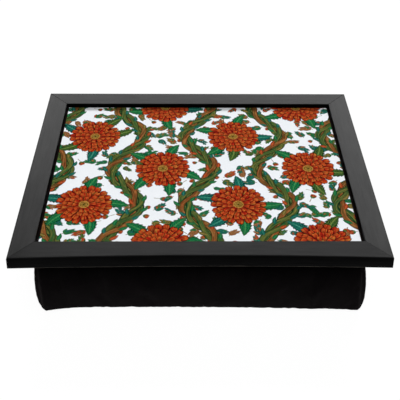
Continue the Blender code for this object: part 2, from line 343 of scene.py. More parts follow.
def handled_shine(tree, across, along, shine, coordinate, stretches):
    """The foil's shine where hands have polished it: more toward the outer edge, and by its stretches."""
    from_end = maths(tree, "SUBTRACT", TRAY_LENGTH / 2, across)
    from_side = maths(tree, "SUBTRACT", TRAY_DEPTH / 2, along)
    from_edge = maths(tree, "MINIMUM", from_end, from_side)
    gloss = ranged(tree, from_edge, 0, RAIL_WIDTH, 1.08 * shine, 0.92 * shine)
    for start, end, start_polish, end_polish in stretches:
        gloss = times(tree, gloss, ranged(tree, coordinate, start, end, start_polish, end_polish))
    return gloss


def black_foil(name, grain_scale, shine, roughness, axis, stretches):
    """Satin black foil: a grain along the rail, hairlines at its mitres, and a painted highlight along its
    lower arris, drawn as foil rubbed bare.

    Its upright faces are duller, and the higher up the more.
    """
    finish, tree, shader, place = new_finish(name, shine)
    grain = speckle(tree, stretched(tree, place, grain_scale), 1, 5, 0.65)
    cloud = speckle(tree, place, 22, 3)
    mottled = blended(tree, grain, cloud, 0.6)
    colour = toned(tree, mottled, (0.0007, 0.0007, 0.0008, 1), (0.0017, 0.0017, 0.0018, 1))
    coordinates = split(tree, place)
    height = coordinates[2]
    facing = split(tree, add_node(tree, "ShaderNodeNewGeometry").outputs["Normal"])[2]

    # Painted highlight: a lighter, rougher band along the lower arris stands for the light that arris
    # catches; it looks like foil rubbed bare.
    wandering = maths(tree, "ADD", height, times(tree, cloud, ARRIS_HIGHLIGHT_WANDER))
    low = maths(tree, "LESS_THAN", wandering, ARRIS_HIGHLIGHT_BELOW)
    not_underneath = maths(tree, "GREATER_THAN", facing, -0.95)
    lower_arris_highlight = times(tree, low, not_underneath, ranged(tree, grain, 0.35, 0.55, 0.35, 1.0))
    colour = mixed(tree, lower_arris_highlight, colour, (0.16, 0.145, 0.125, 1))

    across, along = (maths(tree, "ABSOLUTE", coordinate) for coordinate in coordinates[:2])
    hairline = mitre_hairline(tree, across, along, coordinates[1])
    gloss = handled_shine(tree, across, along, shine, coordinates[axis], stretches)
    upright = ranged(tree, height, *UPRIGHT_HEIGHTS, 0.95, 0.42)
    gloss = times(
        tree, gloss, spread(tree, grain, 0.78, 1.22), spread(tree, cloud, 0.93, 1.07),
        ranged(tree, facing, 0.3, 0.8, upright, 1.0), ranged(tree, hairline, 0.0, 1.0, 1.0, 0.15),
    )
    tree.links.new(gloss, shader.inputs["Specular IOR Level"])
    satin = spread(tree, mottled, roughness - 0.02, roughness + 0.02)
    satin = maths(tree, "ADD", satin, times(tree, lower_arris_highlight, 0.4))
    relief = maths(tree, "SUBTRACT", grain, times(tree, hairline, 3))
    finished(tree, shader, colour, satin, relief, 0.00002)
    return finish


def print_ground():
    """The laminate's white: matt, with the faintest cloud of its paper."""
    finish, tree, shader, place = new_finish("print_ground", PRINT_SHINE)
    fibres = speckle(tree, place, 420, 5, 0.7)
    tone = blended(tree, fibres, speckle(tree, place, 35, 3), 0.7)
    colour = toned(tree, tone, srgb(228, 232, 236), srgb(239, 242, 246))
    finished(tree, shader, colour, spread(tree, fibres, *PRINT_ROUGHNESS), fibres, 0.000008)
    return finish


def ink_coordinates(tree):
    """A printed shape's own tint, and how far across, along and from its middle a point of it is."""
    tint = add_node(tree, "ShaderNodeAttribute", attribute_name="tint").outputs["Fac"]
    across, along, _ = split(tree, add_node(tree, "ShaderNodeUVMap", uv_map="stroke").outputs[0])
    middle = maths(tree, "ABSOLUTE", maths(tree, "SUBTRACT", times(tree, across, 2), 1))
    return tint, across, along, middle


def strokes(tree, tint, across, along, fine, long):
    """Brush lines that run along a shape, different on each shape."""
    inputs = {0: times(tree, across, fine), 1: times(tree, along, long), 2: times(tree, tint, 73)}
    lines = add_node(tree, "ShaderNodeCombineXYZ", inputs).outputs[0]
    return speckle(tree, lines, 1, 3, 0.6, 0.4)


def edged(tree, colour, middle, along, wander, edge_colour, edge_start, tip_start):
    """Draws a darker line round a shape's sides and tip, with an unsteady hand."""
    shaky = times(tree, maths(tree, "SUBTRACT", wander, 0.5), 0.16)
    side = maths(tree, "GREATER_THAN", maths(tree, "ADD", middle, shaky), edge_start)
    tip = maths(tree, "GREATER_THAN", maths(tree, "ADD", along, shaky), tip_start)
    return mixed(tree, maths(tree, "MAXIMUM", side, tip), colour, edge_colour)


def inked(tree, shader, colour, lines):
    """Finishes an ink, which lies on the laminate in thin ridges and is as matt."""
    finished(tree, shader, colour, spread(tree, lines, *PRINT_ROUGHNESS), lines, INK_RELIEF)


def petal_ink():
    """Brick petals that turn vermilion toward the tip, hatched with ochre and moss, and edged in maroon."""
    finish, tree, shader, place = new_finish("petal_ink", PRINT_SHINE)
    tint, across, along, middle = ink_coordinates(tree)
    lines = strokes(tree, tint, across, along, 7, 1.3)
    deep = graded(tree, lines, [
        (0.26, srgb(52, 8, 8)), (0.38, srgb(104, 18, 12)), (0.47, srgb(138, 28, 16)),
        (0.54, srgb(148, 40, 20)), (0.57, srgb(128, 88, 42)), (0.60, srgb(82, 70, 34)),
        (0.63, srgb(122, 22, 14)), (0.80, srgb(76, 12, 10)),
    ])
    light = graded(tree, lines, [
        (0.26, srgb(106, 16, 10)), (0.38, srgb(144, 26, 15)), (0.47, srgb(172, 38, 20)),
        (0.54, srgb(198, 80, 33)), (0.57, srgb(206, 142, 56)), (0.60, srgb(126, 104, 44)),
        (0.63, srgb(158, 32, 17)), (0.80, srgb(118, 20, 12)),
    ])
    toward_tip = ranged(tree, maths(tree, "ADD", along, times(tree, tint, 0.12)), 0.58, 0.92)
    colour = mixed(tree, toward_tip, deep, light)
    wander = speckle(tree, place, 500, 2)
    colour = edged(tree, colour, middle, along, wander, srgb(50, 8, 6), 0.80, 0.95)
    inked(tree, shader, colour, lines)
    return finish


def leaf_ink():
    """Leaves in teal, green, moss and brick, each in one ink, with lighter veins and a dark edge."""
    finish, tree, shader, place = new_finish("leaf_ink", PRINT_SHINE)
    tint, across, along, middle = ink_coordinates(tree)
    body = graded(tree, tint, [
        (0.0, srgb(4, 86, 76)), (0.24, srgb(5, 98, 56)), (0.50, srgb(32, 82, 34)),
        (0.62, srgb(94, 82, 34)), (0.76, srgb(148, 38, 20)), (0.90, srgb(122, 66, 34)),
    ], "CONSTANT")
    shade = graded(tree, tint, [
        (0.0, srgb(2, 50, 50)), (0.24, srgb(2, 60, 36)), (0.50, srgb(14, 48, 20)),
        (0.62, srgb(54, 46, 18)), (0.76, srgb(94, 16, 12)), (0.90, srgb(68, 30, 16)),
    ], "CONSTANT")
    vein = graded(tree, tint, [
        (0.0, srgb(58, 138, 114)), (0.24, srgb(64, 140, 80)), (0.50, srgb(112, 132, 64)),
        (0.62, srgb(166, 146, 78)), (0.76, srgb(214, 118, 60)), (0.90, srgb(194, 144, 90)),
    ], "CONSTANT")
    lines = strokes(tree, tint, across, along, 6, 5)
    colour = mixed(tree, ranged(tree, lines, 0.42, 0.58), body, shade)
    slant = maths(tree, "SUBTRACT", times(tree, along, 9), times(tree, middle, 2.6))
    ribs = maths(tree, "GREATER_THAN", maths(tree, "FRACT", slant), 0.78)
    midrib = maths(tree, "LESS_THAN", middle, 0.10)
    drawn = times(tree, maths(tree, "MAXIMUM", ribs, midrib), ranged(tree, lines, 0.36, 0.44))
    colour = mixed(tree, drawn, colour, vein)
    wander = speckle(tree, place, 700, 2)
    colour = edged(tree, colour, middle, along, wander, shade, 0.80, 0.95)
    inked(tree, shader, colour, lines)
    return finish


def vine_ink():
    """Stems drawn as a bundle of moss, green and brown lines, with no edge at their ends."""
    finish, tree, shader, place = new_finish("vine_ink", PRINT_SHINE)
    tint, across, along, middle = ink_coordinates(tree)
    lines = strokes(tree, tint, across, along, 6, 9)
    moss = graded(tree, lines, [
        (0.26, srgb(2, 26, 14)), (0.36, srgb(6, 72, 42)), (0.42, srgb(16, 84, 44)),
        (0.48, srgb(82, 90, 38)), (0.53, srgb(130, 124, 60)), (0.57, srgb(46, 68, 30)),
        (0.63, srgb(4, 68, 40)), (0.72, srgb(20, 28, 10)),
    ])
    bark = graded(tree, lines, [
        (0.26, srgb(34, 18, 8)), (0.36, srgb(112, 56, 26)), (0.42, srgb(64, 74, 36)),
        (0.48, srgb(142, 54, 26)), (0.53, srgb(168, 122, 66)), (0.57, srgb(50, 62, 30)),
        (0.63, srgb(100, 34, 18)), (0.72, srgb(30, 44, 22)),
    ])
    colour = mixed(tree, maths(tree, "GREATER_THAN", tint, 0.6), moss, bark)
    wander = speckle(tree, place, 600, 2)
    colour = edged(tree, colour, middle, along, wander, srgb(18, 22, 8), 0.80, 2)
    inked(tree, shader, colour, lines)
    return finish


def heart_ink():
    """The blossoms' hearts: moss stamens with ochre tips."""
    finish, tree, shader, place = new_finish("heart_ink", PRINT_SHINE)
    tint, across, along, middle = ink_coordinates(tree)
    stem = graded(tree, tint, [(0.0, srgb(62, 52, 20)), (0.5, srgb(98, 84, 34)), (1.0, srgb(134, 108, 44))])
    tip = graded(tree, tint, [(0.0, srgb(206, 140, 50)), (1.0, srgb(226, 176, 84))])
    colour = mixed(tree, maths(tree, "GREATER_THAN", along, 0.62), stem, tip)
    wander = speckle(tree, place, 900, 2)
    colour = edged(tree, colour, middle, along, wander, srgb(48, 30, 12), 0.72, 2)
    inked(tree, shader, colour, wander)
    return finish


def dark_band_finish():
    """Near-black, a little uneven over a fine noise."""
    finish, tree, shader, place = new_finish("dark_band_finish", PRINT_SHINE)
    fibres = speckle(tree, place, 700, 4, 0.7)
    inked(tree, shader, toned(tree, fibres, srgb(10, 8, 8), srgb(26, 18, 17)), fibres)
    return finish


def velvet():
    """Short black pile, brushed a little one way and another.

    Along the seams the pile is lighter: a painted highlight where the seams catch the light, strongest on
    the left.
    """
    finish, tree, shader, place = new_finish("velvet", 0.004, sheen=0.072)
    shader.inputs["Sheen Roughness"].default_value = 0.55
    shader.inputs["Sheen Tint"].default_value = (1.0, 0.88, 0.91, 1)
    pile = speckle(tree, place, 2400, 3, 0.7)
    brushed = speckle(tree, stretched(tree, place, (24, 24, 14)), 1, 4, 0.6, 0.6)
    tone = blended(tree, pile, brushed, 0.4)
    stops = [(0.34, (0.0012, 0.0009, 0.0010, 1)), (0.66, (0.0068, 0.0056, 0.0061, 1))]
    seam = add_node(tree, "ShaderNodeAttribute", attribute_name="near_seam").outputs["Fac"]
    # Painted highlight: lighter pile along the seams, strongest on the left, where the seam ridges catch
    # the light.
    on_the_left = ranged(tree, split(tree, place)[0], -0.12, 0.12, 1.0, 0.3)
    seam_highlight = times(tree, seam, ranged(tree, brushed, 0.35, 0.6, 0.2, 0.9), on_the_left)
    colour = mixed(tree, seam_highlight, graded(tree, tone, stops), (0.040, 0.033, 0.035, 1))
    finished(tree, shader, colour, spread(tree, brushed, 0.85, 1.0), pile, 0.00025)
    return finish


def fibreboard():
    """Raw brown board of pressed fibres."""
    finish, tree, shader, place = new_finish("fibreboard", 0.3)
    fibres = speckle(tree, stretched(tree, place, (600, 900, 1800)), 1, 5, 0.7)
    tone = blended(tree, fibres, speckle(tree, place, 60, 3), 0.7)
    colour = graded(tree, tone, [
        (0.3, srgb(120, 90, 62)), (0.5, srgb(156, 122, 86)), (0.7, srgb(186, 154, 114)),
    ])
    finished(tree, shader, colour, spread(tree, fibres, 0.7, 0.95), fibres, 0.00006)
    return finish


def plain_backing():
    """Buff paper with darker flecks."""
    finish, tree, shader, place = new_finish("plain_backing", 0.3)
    fibres = speckle(tree, place, 520, 5, 0.7)
    flecks = ranged(tree, speckle(tree, place, 260, 2), 0.68, 0.72)
    tone = toned(tree, fibres, srgb(196, 190, 180), srgb(214, 209, 200))
    colour = mixed(tree, flecks, tone, srgb(150, 140, 126))
    finished(tree, shader, colour, spread(tree, fibres, 0.5, 0.7), fibres, 0.00003)
    return finish


def spring_steel():
    """Rolled steel, drawn along and spotted with a little rust."""
    finish, tree, shader, place = new_finish("spring_steel", 0.5, metallic=1.0)
    brushed = speckle(tree, stretched(tree, place, (4000, 4000, 300)), 1, 3, 0.6)
    spots = ranged(tree, speckle(tree, place, 500, 3), 0.62, 0.72)
    tone = toned(tree, brushed, (0.42, 0.43, 0.45, 1), (0.60, 0.61, 0.63, 1))
    colour = mixed(tree, spots, tone, (0.25, 0.20, 0.16, 1))
    finished(tree, shader, colour, spread(tree, brushed, 0.28, 0.45), brushed, 0.00001)
    return finish


def hook_tape():
    """Rows of stiff hooks on a woven tape."""
    finish, tree, shader, place = new_finish("hook_tape", 0.3)
    cells = add_node(tree, "ShaderNodeTexVoronoi", {"Vector": place, "Scale": 900, "Randomness": 0.25})
    hooks = ranged(tree, cells.outputs["Distance"], 0.15, 0.5, 1.0, 0.0)
    colour = graded(tree, hooks, [(0.2, grey(0.004)), (0.9, (0.022, 0.022, 0.024, 1))])
    finished(tree, shader, colour, ranged(tree, hooks, 0, 1, 0.9, 0.5), hooks, 0.0006)
    return finish


def loop_tape():
    """Soft looped pile on a woven tape."""
    finish, tree, shader, place = new_finish("loop_tape", 0.15, sheen=0.12)
    curls = speckle(tree, place, 1300, 4, 0.7, 1.5)
    waving = {"Vector": place, "Scale": 160, "Distortion": 3, "Detail": 2}
    rows = add_node(tree, "ShaderNodeTexWave", waving).outputs["Fac"]
    tone = blended(tree, curls, rows, 0.75)
    colour = toned(tree, tone, grey(0.004), (0.020, 0.020, 0.021, 1))
    finished(tree, shader, colour, spread(tree, curls, 0.9, 1.0), curls, 0.0008)
    return finish


def linked_object(name, data):
    made = bpy.data.objects.new(name, data)
    bpy.context.scene.collection.objects.link(made)
    return made


def as_mesh(name, bm):
    """Makes a mesh from a bmesh, which is done with."""
    mesh = bpy.data.meshes.new(name)
    bm.to_mesh(mesh)
    bm.free()
    return mesh


def new_ink():
    """A bmesh for flat printed shapes, each with its tint and its own map along and across."""
    bm = bmesh.new()
    bm.loops.layers.uv.new("stroke")
    bm.verts.layers.float.new("tint")
    return bm


def add_blade(bm, root, angle, length, width, outline, level, tint, cuts=8, bend=0.0, notch=0.0):
    """Adds a flat printed shape that grows from its root, as wide as its outline says, and bends."""
    grid = bmesh.ops.create_grid(bm, x_segments=4 if notch else 2, y_segments=cuts, size=0.5, calc_uvs=True)
    tint_layer = bm.verts.layers.float["tint"]
    for vert in grid["verts"]:
        across, along = vert.co.x * 2, vert.co.y + 0.5
        turn = angle + bend * along
        if abs(bend) > 0.001:
            chord = Vector((math.sin(turn) - math.sin(angle), math.cos(angle) - math.cos(turn)))
            reach = chord * length / bend
        else:
            reach = Vector((math.cos(angle), math.sin(angle))) * length * along
        reach *= 1 + notch * along**5 * (1 - math.cos(2 * math.pi * across))
        side = Vector((-math.sin(turn), math.cos(turn))) * (-across * width / 2 * outline(along))
        vert.co = Vector((root[0] + reach.x + side.x, root[1] + reach.y + side.y, level))
        vert[tint_layer] = tint


def petal_outline(along):
    return 0.12 + 0.88 * math.sqrt(along) * (1 - max(0, (along - 0.72) / 0.28) ** 2 * 0.55)


def leaflet_outline(along):
    return max(0.0, math.sin(math.pi * along**0.8)) ** 0.85


def toothed_outline(along):
    tooth = (along * 7) % 1
    return max(0.0, math.sin(math.pi * along**0.75)) ** 0.9 * (1 - 0.30 * tooth)


def stem_outline(along):
    return 1 - 0.6 * along


def straight_outline(along):
    return 1


def round_outline(along):
    return math.sqrt(max(0.0, 1 - (2 * along - 1) ** 2))


def on_circle(turn, radius, centre=(0, 0)):
    return (centre[0] + math.cos(turn) * radius, centre[1] + math.sin(turn) * radius)


def drawn_once(draw, hand):
    """Draws a motif from the origin along X, and keeps it as a mesh that can be printed many times."""
    bm = new_ink()
    draw(bm, hand)
    return as_mesh("motif", bm)


def printed(bm, motif, place, angle, size, level):
    """Prints a motif once more, at its place, turned, as large as is asked, and at its level."""
    copy = motif.copy()
    turned = Matrix.Rotation(angle, 4, "Z") @ Matrix.Diagonal((size, size, 1, 1))
    copy.transform(Matrix.Translation((place[0], place[1], level)) @ turned)
    bm.from_mesh(copy)
    bpy.data.meshes.remove(copy)


def vine_middles():
    """Where each vine's middle is, and whether it waves the other way."""
    return [(BLOSSOM_SPACING * (i - (VINE_COUNT - 1) / 2), i % 2 == 1) for i in range(VINE_COUNT)]


def vine_x(middle, mirrored, y):
    """Where a vine's centre line is: it waves from side to side, and its neighbours wave the other way."""
    sway = VINE_SWAY * math.sin(2 * math.pi * y / BLOSSOM_ROW + math.pi / 2)
    return middle + (-sway if mirrored else sway)


def vine_slope(middle, mirrored, y):
    rise = vine_x(middle, mirrored, y + SLOPE_STEP) - vine_x(middle, mirrored, y - SLOPE_STEP)
    return rise / (2 * SLOPE_STEP)


def beside_vine(middle, mirrored, y, offset, level):
    """A point of a vine, that far to the side of its centre line."""
    side = Vector((1, -vine_slope(middle, mirrored, y))).normalized() * offset
    return Vector((vine_x(middle, mirrored, y) + side.x, y + side.y, level))


def blossom_centres():
    """Half-drop: every other column of blossoms is half a row lower."""
    centres = []
    for column in range(BLOSSOM_COLUMNS):
        x = BLOSSOM_SPACING * (column - (BLOSSOM_COLUMNS - 1) / 2)
        drop = 0 if column % 2 else BLOSSOM_ROW / 2
        heights = [drop + BLOSSOM_ROW * row for row in (-1, 0, 1)]
        centres += [(x, y) for y in heights if abs(y) < LAST_BLOSSOM]
    return centres


def add_vines(bm, level):
    """Each vine is three stems wound round each other, over a dark ground that shows between them."""
    tint_layer = bm.verts.layers.float["tint"]
    for number, (middle, mirrored) in enumerate(vine_middles()):
        backing = bmesh.ops.create_grid(bm, x_segments=1, y_segments=90, size=0.5, calc_uvs=True)
        for vert in backing["verts"]:
            offset = VINE_WIDTH * VINE_GROUND_SHARE * vert.co.x
            vert.co = beside_vine(middle, mirrored, vert.co.y * VINE_LENGTH, offset, level - INK_STEP)
            vert[tint_layer] = 0
        for strand in range(VINE_STRANDS):
            grid = bmesh.ops.create_grid(bm, x_segments=2, y_segments=150, size=0.5, calc_uvs=True)
            for vert in grid["verts"]:
                y = vert.co.y * VINE_LENGTH
                round_it = 2 * math.pi * (y / VINE_TWIST + strand / VINE_STRANDS) + number
                swell = 1 + 0.22 * noise.noise((middle * 90 + strand * 5, y * 90, vert.co.x))
                offset = STRAND_SWING * math.sin(round_it) + vert.co.x * STRAND_SHARE * swell
                over = INK_STEP * (1 + math.cos(round_it))
                vert.co = beside_vine(middle, mirrored, y, VINE_WIDTH * offset, level + over)
                vert[tint_layer] = (strand + 0.5) / VINE_STRANDS


def draw_sprig(bm, hand):
    """A small leafy sprig: a bent stem with leaflets to both sides and one at its end."""
    stem_length, pairs = 0.9, 5
    bend = hand.uniform(-0.9, 0.9)
    tint = hand.random()
    add_blade(bm, (0, 0), 0, stem_length, 0.055, stem_outline, 0, 0.7, 6, bend)
    for pair in range(1, pairs + 1):
        along = pair / (pairs + 1)
        base = on_circle(bend * along / 2, along * stem_length)
        for side in (-1, 1):
            length = (0.48 - 0.20 * along) * hand.uniform(0.85, 1.2)
            leaf_tint = tint if hand.random() < 0.65 else hand.random()
            level = INK_STEP * 0.4 * (pair * 2 + (side > 0))
            outline, cuts = (toothed_outline, 14) if pair % 2 else (leaflet_outline, 7)
            turn = bend * along + side * hand.uniform(0.7, 1.05)
            add_blade(bm, base, turn, length, length * 0.52, outline, level, leaf_tint, cuts, -side * 0.5)
    add_blade(bm, on_circle(bend / 2, 0.8), bend, 0.36, 0.19, leaflet_outline, INK_STEP * 5, tint, 8)


def draw_bud(bm, hand):
    """A half-open bud on a thin stem: a fan of small petals in a cup of two sepals."""
    add_blade(bm, (0, 0), 0, 0.55, 0.05, stem_outline, 0, 0.7, 6, hand.uniform(-0.3, 0.3))
    for number, turn in enumerate((-0.7, 0.7, -0.35, 0.35, 0)):
        tint = hand.uniform(0.76, 0.89)
        level = INK_STEP * (1 + 0.4 * number)
        add_blade(bm, (0.45, 0), turn, 0.42, 0.2, leaflet_outline, level, tint, 8, -turn * 0.8)
    for side in (-1, 1):
        turn = side * 0.9
        add_blade(bm, (0.42, 0), turn, 0.26, 0.12, leaflet_outline, INK_STEP * 4, 0.3, 7, -turn)


def add_foliage(bm, level):
    """Fills the ground between vines and blossoms with sprigs and buds that grow away from the vines."""
    hand = random.Random(11)
    sprigs = [drawn_once(draw_sprig, hand) for _ in range(24)]
    buds = [drawn_once(draw_bud, hand) for _ in range(6)]
    low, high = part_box("printed_laminate")
    columns, rows = (int(size / SPRIG_SPACING) + 2 for size in (high.x - low.x, high.y - low.y))
    for column in range(columns):
        for row in range(rows):
            x = (column - (columns - 1) / 2) * SPRIG_SPACING + hand.uniform(-SPRIG_JITTER, SPRIG_JITTER)
            y = (row - (rows - 1) / 2) * SPRIG_SPACING + hand.uniform(-SPRIG_JITTER, SPRIG_JITTER)
            away = min((x - vine_x(middle, mirrored, y) for middle, mirrored in vine_middles()), key=abs)
            to_blossom = min(math.dist((x, y), centre) for centre in blossom_centres())
            covered = abs(away) < CLEAR_OF_VINE or to_blossom < BLOSSOM_RADIUS - UNDER_BLOSSOM
            if covered or hand.random() < SPRIG_GAP_SHARE:
                continue
            angle = (0 if away > 0 else math.pi) + hand.uniform(-1.2, 1.2)
            start = on_circle(angle, SPRIG_START, (x, y))
            motif = hand.choice(buds) if hand.random() < BUD_SHARE else hand.choice(sprigs)
            apart = INK_STEP * 0.045 * ((column * 3 + row) % 8)
            printed(bm, motif, start, angle, hand.uniform(*SPRIG_SIZES), level + apart)


def add_large_leaves(bm, level):
    """Leaves behind each blossom, and shoots along both sides of each vine."""
    hand = random.Random(5)
    for centre in blossom_centres():
        for number in range(LEAVES_ROUND_BLOSSOM):
            angle = 2 * math.pi * number / LEAVES_ROUND_BLOSSOM + hand.uniform(-0.35, 0.35)
            root = on_circle(angle, 0.024, centre)
            tint = hand.choice((0.1, 0.3, 0.3, 0.55))
            bend = hand.choice((-0.5, 0.5))
            over = level + INK_STEP * (number % 2)
            add_blade(bm, root, angle, 0.033, 0.018, toothed_outline, over, tint, 42, bend)
    for middle, mirrored in vine_middles():
        for shoot in range(SHOOTS_ON_VINE):
            y = (shoot / (SHOOTS_ON_VINE - 1) - 0.5) * 0.3 + hand.uniform(-0.002, 0.002)
            side = -1 if shoot % 2 else 1
            upward = math.pi / 2 - math.atan(vine_slope(middle, mirrored, y))
            root = (vine_x(middle, mirrored, y) + side * VINE_WIDTH * 0.35, y)
            tint = hand.choice((0.1, 0.1, 0.3, 0.3, 0.7, 0.8))
            angle = upward - side * hand.uniform(0.5, 1.0)
            length = hand.uniform(0.010, 0.014)
            over = level + INK_STEP * (shoot % 2)
            add_blade(bm, root, angle, length, 0.0062, toothed_outline, over, tint, 21, side * 0.6)


def draw_blossom(bm, hand):
    """Four rings of notched petals, the outer rings lowest, over a dark ground that shows between them."""
    add_blade(bm, (-0.8, 0), 0, 1.6, 1.6, round_outline, 0, 0, 40)
    for ring, (count, inner, outer, width) in enumerate(BLOSSOM_RINGS):
        for petal in range(count):
            angle = 2 * math.pi * (petal + ring / 2) / count + hand.uniform(-0.03, 0.03)
            length = (outer - inner) * hand.uniform(0.93, 1.03)
            level = INK_STEP * (1 + ring * 2 + petal % 2)
            tint = min(1.0, 0.15 + ring * 0.2 + hand.uniform(0, 0.25))
            bend = hand.uniform(-0.25, 0.25)
            root = on_circle(angle, inner)
            add_blade(bm, root, angle, length, width, petal_outline, level, tint, 12, bend, 0.035)


def draw_heart(bm, hand):
    """Three rings of stamens, the outer ring lowest, over a dark ground."""
    add_blade(bm, (-0.45, 0), 0, 0.9, 0.9, round_outline, 0, 0, 24)
    for ring, (count, reach) in enumerate(STAMEN_RINGS):
        for stamen in range(count):
            angle = 2 * math.pi * (stamen + ring / 2) / count
            level = INK_STEP * (1 + ring + stamen % 2 * 0.5)
            length = reach * hand.uniform(0.58, 0.72)
            root = on_circle(angle, reach * 0.35)
            add_blade(bm, root, angle, length, 0.19, round_outline, level, hand.random(), 6)


def print_on_blossoms(bm, level, draw, seed, variants, size):
    """Prints a round motif on each blossom's centre, in variants that take turns, each turned anew."""
    hand = random.Random(seed)
    motifs = [drawn_once(draw, hand) for _ in range(variants)]
    for number, centre in enumerate(blossom_centres()):
        printed(bm, motifs[number % variants], centre, hand.uniform(0, 6), size, level)


def add_blossoms(bm, level):
    print_on_blossoms(bm, level, draw_blossom, 3, 4, BLOSSOM_RADIUS)


def add_hearts(bm, level):
    print_on_blossoms(bm, level, draw_heart, 8, 3, BLOSSOM_RADIUS * HEART_SHARE)


def add_side_margins(bm, level):
    """Near-black bands just inside the frame at both short sides, where the pattern stops a little short.
    """
    for side in (-1, 1):
        root = (side * MARGIN_MIDDLE, -MARGIN_LENGTH / 2)
        add_blade(bm, root, math.pi / 2, MARGIN_LENGTH, MARGIN_WIDTH, straight_outline, level, 0, 60)


def trimmed(bm):
    """Cuts the ink off at the laminate's edges."""
    low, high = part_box("printed_laminate")
    edges = ((low, (-1, 0, 0)), (low, (0, -1, 0)), (high, (1, 0, 0)), (high, (0, 1, 0)))
    for corner, normal in edges:
        inside = Vector(corner) - Vector(normal) * PRINT_INSET
        whole = bm.verts[:] + bm.edges[:] + bm.faces[:]
        bmesh.ops.bisect_plane(bm, geom=whole, plane_co=inside, plane_no=normal, clear_outer=True)
    return bm


def add_print():
    """The printed pattern, as flat layers of ink, each some steps above the laminate."""
    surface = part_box("printed_laminate")[1].z
    layers = (
        ("ink_vines", add_vines, vine_ink(), 9),
        ("ink_foliage", add_foliage, leaf_ink(), 1.5),
        ("ink_leaves", add_large_leaves, leaf_ink(), 12),
        ("ink_blossoms", add_blossoms, petal_ink(), 14.5),
        ("ink_hearts", add_hearts, heart_ink(), 24),
        ("dark_side_bands", add_side_margins, dark_band_finish(), 28),
    )
    for name, draw, ink, steps in layers:
        bm = new_ink()
        draw(bm, surface + INK_STEP * steps)
        layer = linked_object(name, as_mesh(name, trimmed(bm)))
        layer.data.materials.append(ink)
        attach(layer, "tray")


def crowded(share):
    """Moves a place between -1 and 1 toward the nearer end, so that points lie closer near the seams."""
    return (1 - EDGE_CROWDING) * share + EDGE_CROWDING * math.sin(share * math.pi / 2)


def cushion_cage():
    """A cube from -1 to 1, divided along each axis, that the cushion's shape is moulded on."""
    bm = bmesh.new()
    bmesh.ops.create_cube(bm, size=2)
    for axis, cuts in enumerate(CUSHION_CUTS):
        along = [e for e in bm.edges if abs(e.verts[0].co[axis] - e.verts[1].co[axis]) > 1.5]
        bmesh.ops.subdivide_edges(bm, edges=along, cuts=cuts, use_grid_fill=True)
    for vert in bm.verts:
        vert.co = Vector([crowded(share) for share in vert.co])
    return bm


def cushion_point(place, setback):
    """Where a point of the cage lies on the stuffed cushion, that far inside the cover's outer face.

    The corner seams belly out low down, the panels swell between them, and the base's seam is
    drawn in and up between corners that stay out as ears. The middle of the base lies flat. The
    panels have shoulders beside the upright seams, the ends are tucked in at half height, and the
    front and the right end spill out low down, where most of the beads have settled.
    """
    a, b, c = place
    up = (c + 1) / 2
    swell = math.sin(math.pi * up**SAG_POWER)
    low = (1 - up) ** 2
    between_a, between_b = 1 - abs(a) ** EAR_POWER, 1 - abs(b) ** EAR_POWER
    top_length, top_depth = TRAY_LENGTH / 2 - TOP_INSET[0], TRAY_DEPTH / 2 - TOP_INSET[1]
    base_length, base_depth = TRAY_LENGTH / 2 - BASE_INSET[0], TRAY_DEPTH / 2 - BASE_INSET[1]
    half_length = base_length + (top_length - base_length) * up
    half_depth = base_depth + (top_depth - base_depth) * up
    half_length += (SEAM_BULGE + PANEL_BULGE * (1 - b**2)) * swell - BASE_DRAW * between_b * low
    half_depth += (SEAM_BULGE + PANEL_BULGE * (1 - a**2)) * swell - BASE_DRAW * between_a * low
    near_a, near_b = (max(0, (abs(s) - BASE_FLAT_SHARE) / (1 - BASE_FLAT_SHARE)) ** 2 for s in (a, b))
    fuller = max(0.0, min(1.0, (a - RIGHT_SPILL_START) / RIGHT_SPILL_RUN)) * low * (b < 0)
    half_depth += (FRONT_SPILL + RIGHT_SPILL * fuller * between_a) * low * max(0, -b)
    half_length += RIGHT_FULLNESS * low * max(0, a) - SIDE_TUCK - SEAM_TUCK * swell**2
    bottom = BASE_SEAM_LIFT * (between_a * near_b * (1 - RIGHT_SEAM_DROP * fuller) + between_b * near_a)
    bottom += BASE_EAR_LIFT * near_a * near_b
    from_b, from_a = (
        (1 - abs(s)) * depth / SHOULDER_PLACE for s, depth in ((b, base_depth), (a, base_length))
    )
    half_length += SHOULDER * swell * from_b * math.exp(1 - from_b)
    half_depth += FRONT_SHOULDER_SHARE * SHOULDER * swell * from_a * math.exp(1 - from_a)
    # The setback is taken off the sides only where the panels are free to swell.
    free = math.sin(math.pi * up)
    back_length, back_depth = (setback * free * (1 - s**SETBACK_END_POWER) for s in (b, a))
    return Vector((
        a * (half_length - back_length * abs(a) ** SETBACK_SIDE_POWER),
        b * (half_depth - back_depth * abs(b) ** SETBACK_SIDE_POWER),
        bottom + (CUSHION_HEIGHT - bottom) * up,
    ))


def sewn_share(place):
    """How firmly a point of the cover is held: fully at the seams, the top and the base, less between."""
    a, b, c = place
    if abs(c) > ON_A_FACE:
        return 1.0
    from_upright, from_level = 1 - min(abs(a), abs(b)), 1 - abs(c)
    return max(0.0, 1 - min(from_upright * UPRIGHT_SEAM_GRIP, from_level * LEVEL_SEAM_GRIP)) ** 2


